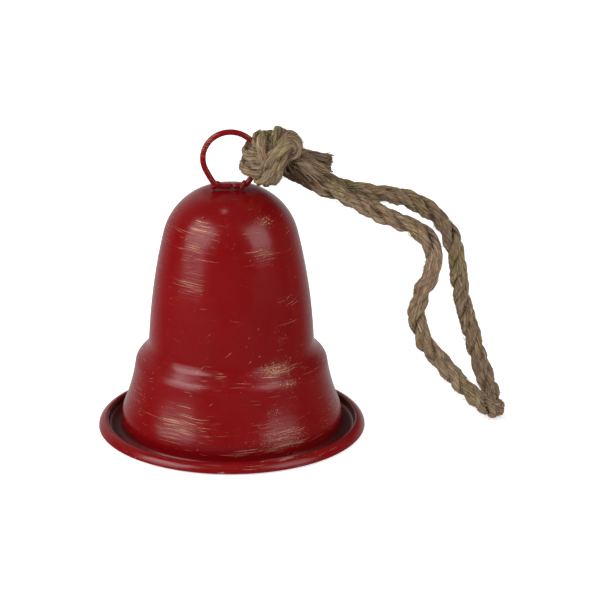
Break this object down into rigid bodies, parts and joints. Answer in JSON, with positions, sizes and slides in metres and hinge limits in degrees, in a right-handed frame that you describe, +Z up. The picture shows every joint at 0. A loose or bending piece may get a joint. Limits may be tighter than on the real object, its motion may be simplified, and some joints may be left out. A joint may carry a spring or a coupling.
{
  "type": "christmas bell ornament",
  "caption": "Red painted sheet-metal bell with a stepped shoulder, rolled rim, wire hanging ring, inner clapper and a knotted jute rope loop.",
  "frame": {"origin": "on the bell's axis, in the plane that the rim stands on", "axes": "+Z up along the bell's axis; the wire ring stands in the XZ plane; the rope loop lies on the +X side"},
  "size_m": [0.1834, 0.12, 0.1421],
  "materials": {
    "red_paint": "gloss red paint over steel, with fine rubbed gold scratches",
    "steel_wire": "drawn zinc-plated wire",
    "iron_ball": "dark tumbled iron",
    "jute_rope": "twisted natural jute"
  },
  "bodies": {
    "bell": {"bell_shell": "red_paint", "hanging_ring": "red_paint", "clapper_staple": "steel_wire"},
    "clapper_link": {"clapper_link": "steel_wire"},
    "clapper": {"clapper_rod": "steel_wire", "clapper_ball": "iron_ball"},
    "rope": {"rope_loop": "jute_rope", "rope_knot": "jute_rope", "rope_tail_front": "jute_rope", "rope_tail_back": "jute_rope"}
  },
  "joints": [
    {"name": "clapper_link_swing", "type": "hinge", "parent": "bell", "child": "clapper_link", "pos_m": [0, 0, 0.10383], "axis": [1, 0, 0], "range_deg": [-5, 5]},
    {"name": "clapper_swing", "type": "hinge", "parent": "clapper_link", "child": "clapper", "pos_m": [0, 0, 0.09693], "axis": [0, 1, 0], "range_deg": [-24, 24]},
    {"name": "rope_swing", "type": "hinge", "parent": "bell", "child": "rope", "pos_m": [0, 0, 0.12773], "axis": [0, -1, 0], "range_deg": [0, 90]}
  ]
}
